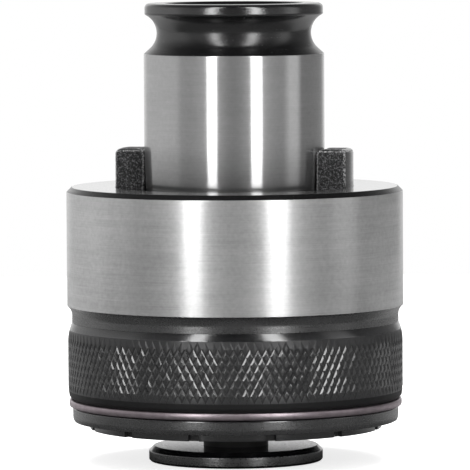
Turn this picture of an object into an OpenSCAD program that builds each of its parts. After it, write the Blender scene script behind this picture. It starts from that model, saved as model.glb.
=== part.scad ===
// Quick-change tapping head with an adjustable overload clutch.
// Z is the spin axis, the shank points up, the base of the release collar is z = 0 and the lugs lie on X.

/* [Release collar] */
// Diameter of the push-up flange
collar_d = 29; // [24:0.5:30]
// Height of the flange
collar_h = 2.6; // [2:0.1:3.5]
// Chamfer on the flange's upper edge
collar_chamfer = 0.83; // [0.3:0.01:1.2]
// Chamfer on the flange's lower edge
collar_base_chamfer = 0.3; // [0.1:0.05:0.6]
// Wall of the collar's tube
tube_wall = 2.2; // [2:0.1:2.6]
// Length of the tube above the flange
tube_length = 19.4; // [18:0.1:21]
// Upward stroke that frees the tap
collar_stroke = 3; // [2:0.1:3.2]
// Depth of the waist that the stop ring runs in
waist_depth = 0.5; // [0.3:0.05:0.8]

/* [Tap seat] */
// Shank diameter of the tap that fits
tap_d = 6.3; // [5.6:0.1:6.6]
// Width across flats of the tap's square
tap_square = 5; // [4.5:0.1:5.2]
// Clearance on each side of the tap
tap_clearance = 0.05; // [0.02:0.01:0.1]
// Depth of the square socket
socket_depth = 9; // [7:0.5:11]
// How much narrower the relief bore above the socket is than the tap, on each side
relief_inset = 0.2; // [0.1:0.05:0.5]
// Chamfer at the mouth of the tap bore
mouth_chamfer = 0.5; // [0.2:0.1:0.8]

/* [Tap lock] */
// Diameter of each locking ball
lock_ball_d = 3; // [2.6:0.1:3.2]
// Height of the locking balls above the collar's flange
lock_ball_rise = 13.4; // [12.8:0.1:14]
// Half angle of the cone that closes the balls
cone_angle = 12; // [10:0.5:14]
// Thickness of the collar's stop ring
stop_ring_h = 1; // [0.8:0.1:1.2]
// Radial width of the stop ring
stop_ring_w = 1.3; // [1.1:0.1:1.5]
// Height of the stop ring above the collar's flange
stop_ring_rise = 8.4; // [8:0.1:8.8]
// Wire diameter of the release spring
release_wire_d = 1; // [0.8:0.05:1.1]
// Space round the release spring
coil_room = 0.6; // [0.4:0.05:0.8]
// Turns of the release spring
release_turns = 5; // [4:1:6]
// Length of the release spring as fitted
release_spring_h = 10; // [9:0.5:11]

/* [Adjusting nut] */
// Space between the collar's flange and the nut
nut_gap = 3.2; // [3.2:0.1:4]
// Step from the body in to the notched spigot, on each side
spigot_inset = 3.7; // [2.5:0.05:4.5]
// Height of the notched spigot
spigot_h = 1; // [0.8:0.1:1.4]
// Number of spanner notches
notch_count = 12; // [8:1:16]
// Width of each notch
notch_w = 2.2; // [1.5:0.1:3]
// Depth of each notch
notch_depth = 0.9; // [0.5:0.1:1.1]
// Angle of the first notch
notch_angle = 25; // [0:1:30]
// Step from the body in to the lip under the lock ring, on each side
lip_inset = 0.85; // [0.5:0.05:1.2]
// Height of the lip
lip_h = 2.4; // [2:0.1:2.8]
// Chamfer on the lip's edges
lip_chamfer = 0.3; // [0.1:0.05:0.5]
// Height of the groove for the lock ring
ring_groove_h = 1.3; // [1.2:0.05:1.6]
// Chamfer under the knurl
knurl_chamfer = 0.5; // [0.3:0.05:0.7]
// Step from the body in to the knurl's crests, on each side
knurl_inset = 0.1; // [0.05:0.05:0.3]
// Depth of the knurl
knurl_depth = 0.45; // [0.3:0.05:0.6]
// Height of the knurled band
knurl_h = 10.4; // [9:0.1:11]
// Number of diamonds around the band
knurl_count = 118; // [96:2:132]
// Number of half diamonds up the band
knurl_rows = 8; // [6:2:10]
// Height of the smooth shoulder above the knurl
shoulder_h = 1.6; // [1.2:0.1:2]
// Radius of the shoulder's round
shoulder_r = 4.5; // [4:0.1:6]
// Room round the collar in the nut's web
collar_room = 1; // [0.6:0.1:1.4]
// Thickness of the nut's web
web_h = 3.4; // [3:0.1:3.6]
// Depth of the relief that the skirt dips into
web_relief = 1.9; // [1.8:0.1:2.2]

/* [Lock ring] */
// Wire diameter of the lock ring
ring_wire_d = 1.1; // [1:0.05:1.2]
// Step from the body in to the lock ring, on each side
ring_inset = 0.35; // [0.25:0.05:0.5]
// Angle left open in the lock ring
ring_open_angle = 12; // [8:1:20]
// How much thinner the lock ring's tail is than its wire, on each side
ring_tail_taper = 0.05; // [0.02:0.01:0.1]
// Angle of the lock ring's tail
tail_angle = 100; // [60:1:140]

/* [Drive body] */
// Diameter of the ground body
body_d = 56; // [56:0.5:58]
// Height of the body from the nut to the seat face
body_h = 22.5; // [22:0.1:24]
// Chamfer on the body's upper edge
body_chamfer = 0.83; // [0.4:0.01:1]
// Step from the body in to the black neck, on each side
neck_inset = 0.8; // [0.5:0.05:1.2]
// Height of the straight part of the neck
neck_h = 1; // [0.6:0.1:1.4]
// Radius of the fillet above the neck
neck_fillet = 2.05; // [1.6:0.05:2.4]
// Space between the nut and the neck
neck_gap = 0.3; // [0.2:0.05:0.4]
// Step from the body in to the skirt's thread, on each side
thread_inset = 4; // [3.8:0.1:4.4]
// Wall of the skirt
skirt_wall = 3.4; // [3.2:0.1:3.8]
// Number of keyways in the skirt
keyway_count = 3; // [3:1:4]
// Width of each keyway
keyway_w = 5; // [4:0.1:6]
// Depth of each keyway
keyway_depth = 1.6; // [1.4:0.1:1.8]
// Number of lock slots outside the skirt
lock_slot_count = 12; // [8:1:16]
// Width of each lock slot
lock_slot_w = 1.8; // [1.4:0.1:2.2]
// Depth of each lock slot
lock_slot_depth = 1; // [0.6:0.1:1.2]
// Height of each lock slot
lock_slot_h = 5; // [4:0.1:6]

/* [Shank] */
// Diameter of the ground shank
shank_d = 30; // [29.8:0.1:30.6]
// Length of the shank from the seat face to the lock groove
shank_length = 22.1; // [21:0.1:24]
// Relief of the shank beside the lugs
shank_relief = 0.2; // [0.18:0.01:0.3]
// Height of the lock groove
groove_h = 6.6; // [6.2:0.05:6.9]
// Depth of the lock groove
groove_depth = 2.17; // [1.8:0.01:2.3]
// Radius of the lock groove's round
groove_r = 3.4; // [3.2:0.1:3.6]
// Step from the shank in to the rim above the groove, on each side
rim_inset = 0.17; // [0.05:0.01:0.3]
// Height of the rim
rim_h = 1.75; // [1.6:0.05:2.6]
// Round on the rim's edges
rim_round = 0.8; // [0.4:0.05:0.9]
// Wall of the shank round its open bore
shank_wall = 4; // [3.6:0.1:4.2]
// Depth of the open bore in the shank
top_bore_depth = 24.3; // [23:0.1:25]
// Chamfer at the mouth of the open bore
top_bore_chamfer = 0.6; // [0.3:0.1:1]

/* [Drive lugs] */
// Reach of the lugs from the shank
lug_reach = 4.75; // [4:0.05:5.5]
// Room between the shank and the lug ring
lug_room = 0.05; // [0.03:0.01:0.15]
// Thickness of the lug ring
lug_ring_h = 3; // [2.5:0.1:3.4]
// Depth of the ring below the seat face
lug_ring_sink = 0.35; // [0.2:0.05:0.5]
// Width of each lug
lug_w = 8; // [6:0.1:10]
// Height of each lug above the seat face
lug_h = 6.05; // [5:0.05:7]
// Chamfer on the lugs' edges
lug_chamfer = 0.35; // [0.2:0.05:0.6]
// Depth of the tongue under each lug
tongue_h = 1.5; // [1.2:0.1:1.8]

/* [Clutch] */
// Thickness of the thrust washer
washer_h = 2; // [1.8:0.1:2.3]
// Room between the barrel and the thrust washer
washer_room = 1.1; // [0.6:0.1:1.6]
// Room between the springs and the skirt
disc_room = 0.6; // [0.4:0.05:0.9]
// Room between the barrel and the springs
disc_bore_room = 0.3; // [0.2:0.05:0.5]
// Thickness of each disc spring
disc_t = 1.5; // [1.3:0.05:1.6]
// Cone height of each disc spring as fitted
disc_cone = 0.75; // [0.6:0.05:0.8]
// Height of the pressure ring
pressure_h = 6.7; // [6.2:0.1:7]
// Side clearance of the pressure ring's ears
ear_room = 0.15; // [0.1:0.01:0.2]
// Diameter of the clutch balls
clutch_ball_d = 6; // [5.6:0.1:6.2]
// Number of clutch balls
clutch_ball_count = 6; // [4:1:8]
// Height of the pressure ring above the balls' centres
seat_wrap = 0.4; // [0.2:0.05:0.5]
// Slope of the pockets that hold the balls
pocket_angle = 30; // [28:1:32]
// Space between the pressure ring and the spindle's flange
clutch_gap = 1.05; // [0.9:0.05:1.2]

/* [Spindle] */
// Wall of the barrel inside the springs
barrel_wall = 4.4; // [4:0.1:4.8]
// Height of the barrel's lower end above the nut's base
barrel_rise = 2.6; // [2.4:0.1:3]
// Room between the spindle's flange and the skirt
flange_room = 0.4; // [0.3:0.05:0.6]
// Height of the spindle's flange
spindle_flange_h = 4.45; // [4.2:0.05:4.8]
// Height of the journal above its circlip
journal_tip_h = 1.4; // [1:0.1:2]
// Chamfer on the spindle's ends
spindle_chamfer = 0.5; // [0.3:0.1:0.8]

/* [Bearings] */
// Diameter of the thrust balls
thrust_ball_d = 4; // [3.6:0.1:4.2]
// Number of thrust balls
thrust_ball_count = 14; // [10:1:16]
// Depth of the ball grooves
race_depth = 0.5; // [0.3:0.05:0.6]
// Thickness of the ball cage
cage_h = 1.4; // [1:0.1:1.6]
// Width of the ball cage on each side of the balls' circle
cage_band = 3.6; // [3:0.1:4]
// Thickness of the upper race
race_h = 2.1; // [1.9:0.1:2.4]
// Wall of the guide bush
bush_wall = 1.1; // [0.9:0.05:1.3]
// Width of the bush's flange outside its wall
bush_flange_w = 0.7; // [0.5:0.05:0.9]
// Height of the bush's flange
bush_flange_h = 1.5; // [1.2:0.1:2]
// Length of the bush below its flange
bush_length = 12; // [10:0.5:13]
// Thickness of the spindle's washer
spindle_washer_h = 1.2; // [1:0.1:1.5]
// Thickness of the spindle's circlip
circlip_h = 1.2; // [1:0.1:1.5]
// Radial width of the spindle's circlip
circlip_w = 1.9; // [1.6:0.1:2]
// Depth of the circlip's groove
circlip_groove = 0.6; // [0.5:0.05:0.8]

/* [Fits] */
// Radial clearance of turning and sliding fits
running_fit = 0.05; // [0.02:0.01:0.08]
// Radial clearance of the plain screw thread
thread_fit = 0.15; // [0.1:0.01:0.2]
// Space between faces that rest on each other
face_gap = 0.08; // [0.05:0.01:0.1]
// Clearance around loose pieces in their pockets
pocket_fit = 0.1; // [0.08:0.01:0.15]

/* [Node] */
// Sub-part to make

/* [Hidden] */
$fn = 96;
cut = 1;
half_turn = 180;
full_turn = 360;
right_angle = 90;
lock_ball_count = 3;

// Radii of the release collar and the tap lock
collar_r = collar_d / 2;
tap_r = tap_d / 2 + tap_clearance;
tube_r = tap_r + tube_wall;
tube_bore_r = tube_r + pocket_fit;
waist_r = tube_r - waist_depth;
lock_ball_r = lock_ball_d / 2;
lock_circle_r = tap_r + lock_ball_r;
release_wire_r = release_wire_d / 2;
release_coil_r = tube_bore_r - coil_room - release_wire_r;

// Radii of the body and the nut
body_r = body_d / 2;
neck_r = body_r - neck_inset;
thread_r = body_r - thread_inset;
cavity_r = thread_r - skirt_wall;
keyway_r = cavity_r + keyway_depth;
nut_bore_r = thread_r + thread_fit;
web_hole_r = collar_r + collar_room;
spigot_r = body_r - spigot_inset;
lip_r = body_r - lip_inset;
knurl_r = body_r - knurl_inset;
valley_r = knurl_r - knurl_depth;
knurl_foot_r = valley_r - knurl_chamfer / 2;
knurl_core_r = valley_r - knurl_depth;
knurl_inner_r = valley_r - 2 * knurl_depth;
ring_wire_r = ring_wire_d / 2;
ring_r = body_r - ring_inset - ring_wire_r;
ring_groove_r = ring_r - ring_wire_r - pocket_fit;

// Radii of the shank and its lug ring
shank_r = shank_d / 2;
shank_relief_r = shank_r - shank_relief;
groove_floor_r = shank_r - groove_depth;
rim_r = shank_r - rim_inset;
top_bore_r = shank_r - shank_wall;
lug_bore_r = shank_r + lug_room;
lug_ring_r = lug_bore_r + lug_reach;

// Radii of the clutch, the spindle and the bearings
barrel_r = tube_bore_r + barrel_wall;
pressure_r = cavity_r - 2 * pocket_fit;
ear_r = keyway_r - 2 * pocket_fit;
ear_w = keyway_w - 2 * ear_room;
disc_r = cavity_r - disc_room;
disc_bore_r = barrel_r + disc_bore_room;
clutch_circle_r = (pressure_r + disc_bore_r) / 2;
clutch_ball_r = clutch_ball_d / 2;
spindle_flange_r = cavity_r - flange_room;
bush_flange_r = top_bore_r - 3 * running_fit;
bush_r = bush_flange_r - bush_flange_w;
bush_seat_r = bush_r + running_fit;
journal_r = bush_r - bush_wall - running_fit;
thrust_circle_r = (pressure_r + bush_seat_r) / 2;
thrust_ball_r = thrust_ball_d / 2;
cage_bore_r = thrust_circle_r - cage_band;
cage_r = thrust_circle_r + cage_band;
circlip_inner_r = journal_r - circlip_groove + running_fit;

// Heights of the release collar and the tap lock
tube_top = collar_h + tube_length;
lock_ball_z = collar_h + lock_ball_rise;
stop_ring_z = collar_h + stop_ring_rise;
waist_top = stop_ring_z + stop_ring_h + face_gap;
waist_bottom = stop_ring_z - collar_stroke - pocket_fit;
cone_slope = tan(cone_angle);
cone_r = lock_circle_r + lock_ball_r / cos(cone_angle) + running_fit;
cone_start_z = lock_ball_z - (cone_r - tube_bore_r) / cone_slope;
cone_end_z = lock_ball_z + collar_stroke + lock_ball_r + 4 * pocket_fit;
cone_end_r = cone_r + (cone_end_z - lock_ball_z) * cone_slope;
spring_seat_z = tube_top + release_spring_h;
socket_top = spring_seat_z + socket_depth;

// Heights of the nut
nut_z = collar_h + nut_gap;
lip_z = nut_z + spigot_h;
ring_groove_z = lip_z + lip_h;
ring_z = ring_groove_z + ring_groove_h / 2;
knurl_foot_z = ring_groove_z + ring_groove_h;
knurl_z = knurl_foot_z + knurl_chamfer;
shoulder_z = knurl_z + knurl_h;
knurl_top = shoulder_z + pocket_fit;
nut_top = shoulder_z + shoulder_h;
shoulder_drop = knurl_r - neck_r;
shoulder_sweep = sqrt(2 * shoulder_r * shoulder_drop - shoulder_drop * shoulder_drop);
web_top = nut_z + web_h;
relief_floor = web_top - web_relief;

// Heights of the body and the shank
neck_z = nut_top + neck_gap;
seat_z = neck_z + body_h;
skirt_z = relief_floor + 4 * face_gap;
lug_floor = seat_z - lug_ring_sink - lug_ring_h;
lug_top = seat_z + lug_h;
tongue_floor = lug_floor - tongue_h;
groove_z = seat_z + shank_length;
rim_z = groove_z + groove_h;
shank_top = rim_z + rim_h;
groove_mid_z = rim_z - sqrt(groove_r * groove_r - pow(groove_r - rim_r + groove_floor_r, 2));
groove_mid_r = groove_floor_r + groove_r;
groove_flare_r = groove_floor_r + groove_r * (1 - sin(right_angle / 2));
groove_flare_z = groove_mid_z - groove_r * cos(right_angle / 2);
land_z = lug_top + lug_chamfer;
bore_floor = shank_top - top_bore_depth;

// Heights of the clutch stack
washer_z = web_top + face_gap;
disc_h = disc_t + disc_cone;
disc_pitch = disc_h + face_gap;
disc_z = washer_z + washer_h + face_gap;
pressure_z = disc_z + 4 * disc_pitch;
pressure_top = pressure_z + pressure_h;
clutch_ball_z = pressure_top - seat_wrap;
spindle_flange_z = pressure_top + clutch_gap;
spindle_flange_top = spindle_flange_z + spindle_flange_h;
pocket_apex_z = clutch_ball_z + (clutch_ball_r + running_fit) / cos(pocket_angle);
pocket_mouth_r = (pocket_apex_z - spindle_flange_z) / tan(pocket_angle);
thrust_ball_z = spindle_flange_top + thrust_ball_r - race_depth;
race_z = thrust_ball_z + thrust_ball_r - race_depth;
ceiling_z = race_z + race_h + face_gap;
barrel_z = nut_z + barrel_rise;
bush_flange_z = bore_floor + face_gap;
bush_z = bush_flange_z - bush_length;
spindle_washer_z = bush_flange_z + bush_flange_h + face_gap;
circlip_z = spindle_washer_z + spindle_washer_h + face_gap;
spindle_top = circlip_z + circlip_h + journal_tip_h;

// Colours
bright_steel = [0.72, 0.73, 0.75];
black_steel = [0.13, 0.13, 0.14];
spring_steel = [0.42, 0.38, 0.44];
bearing_steel = [0.62, 0.63, 0.66];
bronze = [0.68, 0.47, 0.22];

module ring(inner_r, outer_r, height) {
    difference() {
        cylinder(r = outer_r, h = height);
        translate([0, 0, -cut])
            cylinder(r = inner_r, h = height + 2 * cut);
    }
}

module open_ring(inner_r, outer_r, height, open_w) {
    difference() {
        ring(inner_r, outer_r, height);
        translate([0, -open_w / 2, -cut])
            cube([outer_r + cut, open_w, height + 2 * cut]);
    }
}

module around(count, first_angle) {
    for (i = [0 : count - 1])
        rotate([0, 0, first_angle + i * full_turn / count])
            children();
}

module ball_circle(count, circle_r, ball_r) {
    around(count, 0)
        translate([circle_r, 0, 0])
            sphere(r = ball_r);
}

module ball_groove(circle_r, ball_r) {
    rotate_extrude()
        translate([circle_r, 0])
            circle(r = ball_r);
}

// Outline of the body, its neck and the skirt
module body_outline() {
    difference() {
        polygon([
            [0, skirt_z], [thread_r, skirt_z], [thread_r, neck_z], [body_r, neck_z],
            [body_r, seat_z - body_chamfer], [body_r - body_chamfer, seat_z], [0, seat_z]
        ]);
        translate([neck_r, neck_z - cut])
            square([body_r, cut + neck_h]);
        translate([neck_r + neck_fillet, neck_z + neck_h])
            circle(r = neck_fillet);
    }
}

// Outline of the shank, its lock groove and its rim
module shank_outline() {
    difference() {
        polygon([
            [0, lug_floor - cut], [shank_relief_r, lug_floor - cut], [shank_relief_r, seat_z],
            [shank_r, land_z], [shank_r, groove_flare_z - shank_r + groove_flare_r],
            [groove_flare_r, groove_flare_z], [groove_flare_r, groove_mid_z],
            [rim_r, groove_mid_z], [rim_r, shank_top - rim_round],
            [rim_r - rim_round, shank_top - rim_round], [rim_r - rim_round, shank_top],
            [0, shank_top]
        ]);
        translate([groove_mid_r, groove_mid_z])
            circle(r = groove_r);
    }
    translate([rim_r - rim_round, shank_top - rim_round])
        circle(r = rim_round);
}

module tongue_slot(width, half_span, floor_z) {
    translate([-half_span, -width / 2, floor_z])
        cube([2 * half_span, width, lug_floor - floor_z + cut]);
}

module drive_body() {
    color(bright_steel)
        difference() {
            union() {
                difference() {
                    rotate_extrude()
                        body_outline();
                    translate([0, 0, lug_floor])
                        cylinder(r = lug_ring_r + running_fit, h = seat_z);
                    tongue_slot(lug_w + 2 * running_fit, lug_ring_r + running_fit, tongue_floor - face_gap);
                }
                translate([0, 0, tongue_floor - cut])
                    cylinder(r = lug_bore_r - running_fit, h = lug_floor - tongue_floor + cut);
                rotate_extrude()
                    shank_outline();
            }
            translate([0, 0, skirt_z - cut])
                cylinder(r = cavity_r, h = ceiling_z - skirt_z + cut);
            translate([0, 0, ceiling_z - cut])
                cylinder(r = bush_seat_r, h = bore_floor - ceiling_z + 2 * cut);
            translate([0, 0, bore_floor])
                cylinder(r = top_bore_r, h = top_bore_depth + cut);
            translate([0, 0, shank_top - top_bore_chamfer])
                cylinder(r1 = top_bore_r, r2 = top_bore_r + top_bore_chamfer + cut, h = top_bore_chamfer + cut);
            around(keyway_count, 0)
                translate([0, -keyway_w / 2, skirt_z - cut])
                    cube([keyway_r, keyway_w, pressure_top + clutch_gap - skirt_z + cut]);
            around(lock_slot_count, half_turn / lock_slot_count)
                translate([thread_r - lock_slot_depth, -lock_slot_w / 2, skirt_z - cut])
                    cube([thread_r, lock_slot_w, lock_slot_h + cut]);
        }
}

// Outline of the lug ring with its lugs at full height
module lug_outline() {
    polygon([
        [lug_bore_r, tongue_floor], [lug_ring_r, tongue_floor], [lug_ring_r, lug_top - lug_chamfer],
        [lug_ring_r - lug_chamfer, lug_top], [lug_bore_r + lug_chamfer / 2, lug_top],
        [lug_bore_r, lug_top - lug_chamfer / 2]
    ]);
}

module lug_bar() {
    rotate([right_angle, 0, right_angle])
        translate([0, 0, -lug_ring_r - cut])
            linear_extrude(height = 2 * lug_ring_r + 2 * cut)
                polygon([
                    [-lug_w / 2, tongue_floor], [lug_w / 2, tongue_floor],
                    [lug_w / 2, lug_top - lug_chamfer], [lug_w / 2 - lug_chamfer, lug_top],
                    [lug_chamfer - lug_w / 2, lug_top], [-lug_w / 2, lug_top - lug_chamfer]
                ]);
}

module lug_ring() {
    color(black_steel)
        union() {
            translate([0, 0, lug_floor])
                ring(lug_bore_r, lug_ring_r, lug_ring_h);
            intersection() {
                rotate_extrude()
                    lug_outline();
                lug_bar();
            }
        }
}

// Band of four-sided pyramids between two smooth end rows, on a chamfered foot
module knurl_band() {
    steps = 2 * knurl_count;
    turn = full_turn / steps;
    rise = (knurl_top - knurl_z) / knurl_rows;
    foot_z = knurl_foot_z + pocket_fit;
    outer = [
        for (j = [0 : knurl_rows], i = [0 : steps - 1])
            let (crest = (i + j) % 2 == 0 && j > 0 && j < knurl_rows)
                let (r = crest ? knurl_r : valley_r)
                    [r * cos(i * turn), r * sin(i * turn), knurl_z + j * rise]
    ];
    chamfer = [
        for (i = [0 : steps - 1])
            [knurl_foot_r * cos(i * turn), knurl_foot_r * sin(i * turn), foot_z]
    ];
    inner = [
        for (z = [foot_z, knurl_top], i = [0 : steps - 1])
            [knurl_inner_r * cos(i * turn), knurl_inner_r * sin(i * turn), z]
    ];
    last_row = knurl_rows * steps;
    first_foot = last_row + steps;
    first_inner = first_foot + steps;
    flanks = [
        for (j = [0 : knurl_rows - 1], i = [0 : steps - 1], side = [0, 1])
            let (a = j * steps + i, b = j * steps + (i + 1) % steps, c = a + steps, d = b + steps)
                (i + j) % 2 == 0
                    ? (side == 0 ? [a, c, b] : [d, b, c])
                    : (side == 0 ? [b, a, d] : [c, d, a])
    ];
    walls = [
        for (i = [0 : steps - 1], wall = [0 : 3])
            let (k = (i + 1) % steps)
                [
                    [first_foot + i, i, k, first_foot + k],
                    [first_foot + i, first_foot + k, first_inner + k, first_inner + i],
                    [first_inner + i, first_inner + k, first_inner + steps + k, first_inner + steps + i],
                    [last_row + k, last_row + i, first_inner + steps + i, first_inner + steps + k]
                ][wall]
    ];
    polyhedron(points = concat(outer, chamfer, inner), faces = concat(flanks, walls));
}

// Outline of the nut with its web, lip, ring groove and shoulder
module nut_outline() {
    intersection() {
        polygon([
            [web_hole_r, nut_z], [spigot_r, nut_z], [spigot_r, lip_z],
            [lip_r - lip_chamfer, lip_z], [lip_r, lip_z + lip_chamfer],
            [lip_r, ring_groove_z - lip_chamfer], [lip_r - lip_chamfer, ring_groove_z],
            [ring_groove_r, ring_groove_z], [ring_groove_r, knurl_foot_z],
            [knurl_core_r, knurl_foot_z], [knurl_core_r, shoulder_z],
            [knurl_r, shoulder_z], [knurl_r, nut_top],
            [nut_bore_r, nut_top], [nut_bore_r, relief_floor], [pressure_r, relief_floor],
            [pressure_r, web_top], [web_hole_r, web_top]
        ]);
        union() {
            translate([0, nut_z - cut])
                square([body_r, nut_top - shoulder_sweep - nut_z + cut]);
            translate([knurl_r - shoulder_r, nut_top - shoulder_sweep])
                circle(r = shoulder_r);
            square([knurl_r - shoulder_r, nut_top + cut]);
        }
    }
}

module adjusting_nut() {
    color(black_steel)
        difference() {
            union() {
                rotate_extrude()
                    nut_outline();
                knurl_band();
            }
            around(notch_count, notch_angle)
                translate([pressure_r, -notch_w / 2, nut_z - cut])
                    cube([spigot_r, notch_w, notch_depth + cut]);
            rotate([0, 0, tail_angle])
                translate([nut_bore_r - cut, 0, ring_z])
                    rotate([0, right_angle, 0])
                        cylinder(r = ring_wire_r + running_fit, h = ring_r - nut_bore_r + cut);
        }
}

module lock_ring() {
    color(spring_steel)
        union() {
            translate([0, 0, ring_z])
                rotate([0, 0, tail_angle])
                    rotate_extrude(angle = full_turn - ring_open_angle)
                        translate([ring_r, 0])
                            circle(r = ring_wire_r);
            rotate([0, 0, tail_angle])
                translate([nut_bore_r + pocket_fit, 0, ring_z])
                    rotate([0, right_angle, 0])
                        cylinder(r = ring_wire_r - ring_tail_taper, h = ring_r - nut_bore_r - pocket_fit);
        }
}

module thrust_washer() {
    color(bearing_steel)
        translate([0, 0, washer_z])
            ring(barrel_r + washer_room, pressure_r, washer_h);
}

module disc_spring(place, inner_low) {
    inner_z = inner_low ? 0 : disc_cone;
    outer_z = inner_low ? disc_cone : 0;
    color(spring_steel)
        translate([0, 0, disc_z + place * disc_pitch])
            rotate_extrude()
                polygon([
                    [disc_bore_r, inner_z], [disc_r, outer_z],
                    [disc_r, outer_z + disc_t], [disc_bore_r, inner_z + disc_t]
                ]);
}

module disc_spring_1() {
    disc_spring(0, false);
}

module disc_spring_2() {
    disc_spring(1, true);
}

module disc_spring_3() {
    disc_spring(2, false);
}

module disc_spring_4() {
    disc_spring(3, true);
}

module pressure_ring() {
    color(bearing_steel)
        difference() {
            union() {
                translate([0, 0, pressure_z])
                    ring(disc_bore_r, pressure_r, pressure_h);
                around(keyway_count, 0)
                    intersection() {
                        translate([pressure_r - cut, -ear_w / 2, pressure_z])
                            cube([ear_r, ear_w, pressure_h]);
                        translate([0, 0, pressure_z])
                            cylinder(r = ear_r, h = pressure_h);
                    }
            }
            around(clutch_ball_count, half_turn / clutch_ball_count)
                translate([clutch_circle_r, 0, clutch_ball_z]) {
                    sphere(r = clutch_ball_r + running_fit);
                    cylinder(r = clutch_ball_r + running_fit, h = pressure_h);
                }
        }
}

module clutch_balls() {
    color(bearing_steel)
        rotate([0, 0, half_turn / clutch_ball_count])
            translate([0, 0, clutch_ball_z])
                ball_circle(clutch_ball_count, clutch_circle_r, clutch_ball_r);
}

// Outline of the spindle with its barrel, flange and journal
module spindle_outline() {
    polygon([
        [0, barrel_z], [barrel_r - spindle_chamfer, barrel_z], [barrel_r, barrel_z + spindle_chamfer],
        [barrel_r, spindle_flange_z], [spindle_flange_r, spindle_flange_z],
        [spindle_flange_r, spindle_flange_top], [journal_r, spindle_flange_top],
        [journal_r, circlip_z - face_gap / 2], [journal_r - circlip_groove, circlip_z - face_gap / 2],
        [journal_r - circlip_groove, circlip_z + circlip_h + face_gap / 2],
        [journal_r, circlip_z + circlip_h + face_gap / 2], [journal_r, spindle_top - spindle_chamfer],
        [journal_r - spindle_chamfer, spindle_top], [0, spindle_top]
    ]);
}

// Outline of the hollow that takes the collar's tube, the balls' cone and the stop ring
module spindle_hollow() {
    groove_r = waist_r + running_fit + stop_ring_w + pocket_fit;
    polygon([
        [0, barrel_z - cut], [tube_bore_r, barrel_z - cut],
        [tube_bore_r, stop_ring_z - face_gap / 2], [groove_r, stop_ring_z - face_gap / 2],
        [groove_r, stop_ring_z + stop_ring_h + face_gap / 2],
        [tube_bore_r, stop_ring_z + stop_ring_h + face_gap / 2],
        [tube_bore_r, cone_start_z], [cone_end_r, cone_end_z], [tube_bore_r, cone_end_z],
        [tube_bore_r, spring_seat_z], [0, spring_seat_z]
    ]);
}

module tap_spindle() {
    socket = tap_square + 2 * tap_clearance;
    color(bearing_steel)
        difference() {
            rotate_extrude()
                spindle_outline();
            rotate_extrude()
                spindle_hollow();
            translate([0, 0, spring_seat_z - cut])
                intersection() {
                    cylinder(r = tap_r, h = socket_depth + cut);
                    translate([-socket / 2, -socket / 2, 0])
                        cube([socket, socket, socket_depth + cut]);
                }
            translate([0, 0, socket_top - cut])
                cylinder(r = tap_r - relief_inset, h = spindle_top - socket_top + 2 * cut);
            around(clutch_ball_count, half_turn / clutch_ball_count)
                translate([clutch_circle_r, 0, spindle_flange_z])
                    cylinder(r1 = pocket_mouth_r, r2 = 0, h = pocket_apex_z - spindle_flange_z);
            translate([0, 0, thrust_ball_z])
                ball_groove(thrust_circle_r, thrust_ball_r + running_fit);
        }
}

module thrust_cage() {
    color(bronze)
        difference() {
            translate([0, 0, thrust_ball_z - cage_h / 2])
                ring(cage_bore_r, cage_r, cage_h);
            around(thrust_ball_count, 0)
                translate([thrust_circle_r, 0, thrust_ball_z - cage_h])
                    cylinder(r = thrust_ball_r + pocket_fit, h = 2 * cage_h);
        }
}

module thrust_balls() {
    color(bearing_steel)
        translate([0, 0, thrust_ball_z])
            ball_circle(thrust_ball_count, thrust_circle_r, thrust_ball_r);
}

module thrust_race() {
    color(bearing_steel)
        difference() {
            translate([0, 0, race_z])
                ring(bush_seat_r, pressure_r, race_h);
            translate([0, 0, thrust_ball_z])
                ball_groove(thrust_circle_r, thrust_ball_r + running_fit);
        }
}

module guide_bush() {
    color(bronze)
        difference() {
            union() {
                translate([0, 0, bush_z])
                    cylinder(r = bush_r, h = bush_length + cut);
                translate([0, 0, bush_flange_z])
                    cylinder(r = bush_flange_r, h = bush_flange_h);
            }
            translate([0, 0, bush_z - cut])
                cylinder(r = journal_r + running_fit, h = bush_length + bush_flange_h + 2 * cut);
        }
}

module spindle_washer() {
    color(bearing_steel)
        translate([0, 0, spindle_washer_z])
            ring(journal_r + pocket_fit, bush_flange_r, spindle_washer_h);
}

module spindle_circlip() {
    color(spring_steel)
        translate([0, 0, circlip_z])
            open_ring(circlip_inner_r, circlip_inner_r + circlip_w, circlip_h, journal_r / 2);
}

// Outline of the collar's flange and waisted tube
module collar_outline() {
    polygon([
        [tap_r + mouth_chamfer, 0], [collar_r - collar_base_chamfer, 0],
        [collar_r, collar_base_chamfer], [collar_r, collar_h - collar_chamfer],
        [collar_r - collar_chamfer, collar_h], [tube_r, collar_h], [tube_r, waist_bottom],
        [waist_r, waist_bottom], [waist_r, waist_top], [tube_r, waist_top],
        [tube_r, tube_top], [tap_r, tube_top], [tap_r, mouth_chamfer]
    ]);
}

module release_collar() {
    color(black_steel)
        difference() {
            rotate_extrude()
                collar_outline();
            around(lock_ball_count, 0)
                translate([tap_r / 2, 0, lock_ball_z])
                    rotate([0, right_angle, 0])
                        cylinder(r = lock_ball_r + running_fit, h = tube_r);
        }
}

module lock_ball(place) {
    color(bearing_steel)
        rotate([0, 0, place * full_turn / lock_ball_count])
            translate([lock_circle_r, 0, lock_ball_z])
                sphere(r = lock_ball_r);
}

module lock_ball_1() {
    lock_ball(0);
}

module lock_ball_2() {
    lock_ball(1);
}

module lock_ball_3() {
    lock_ball(2);
}

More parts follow.
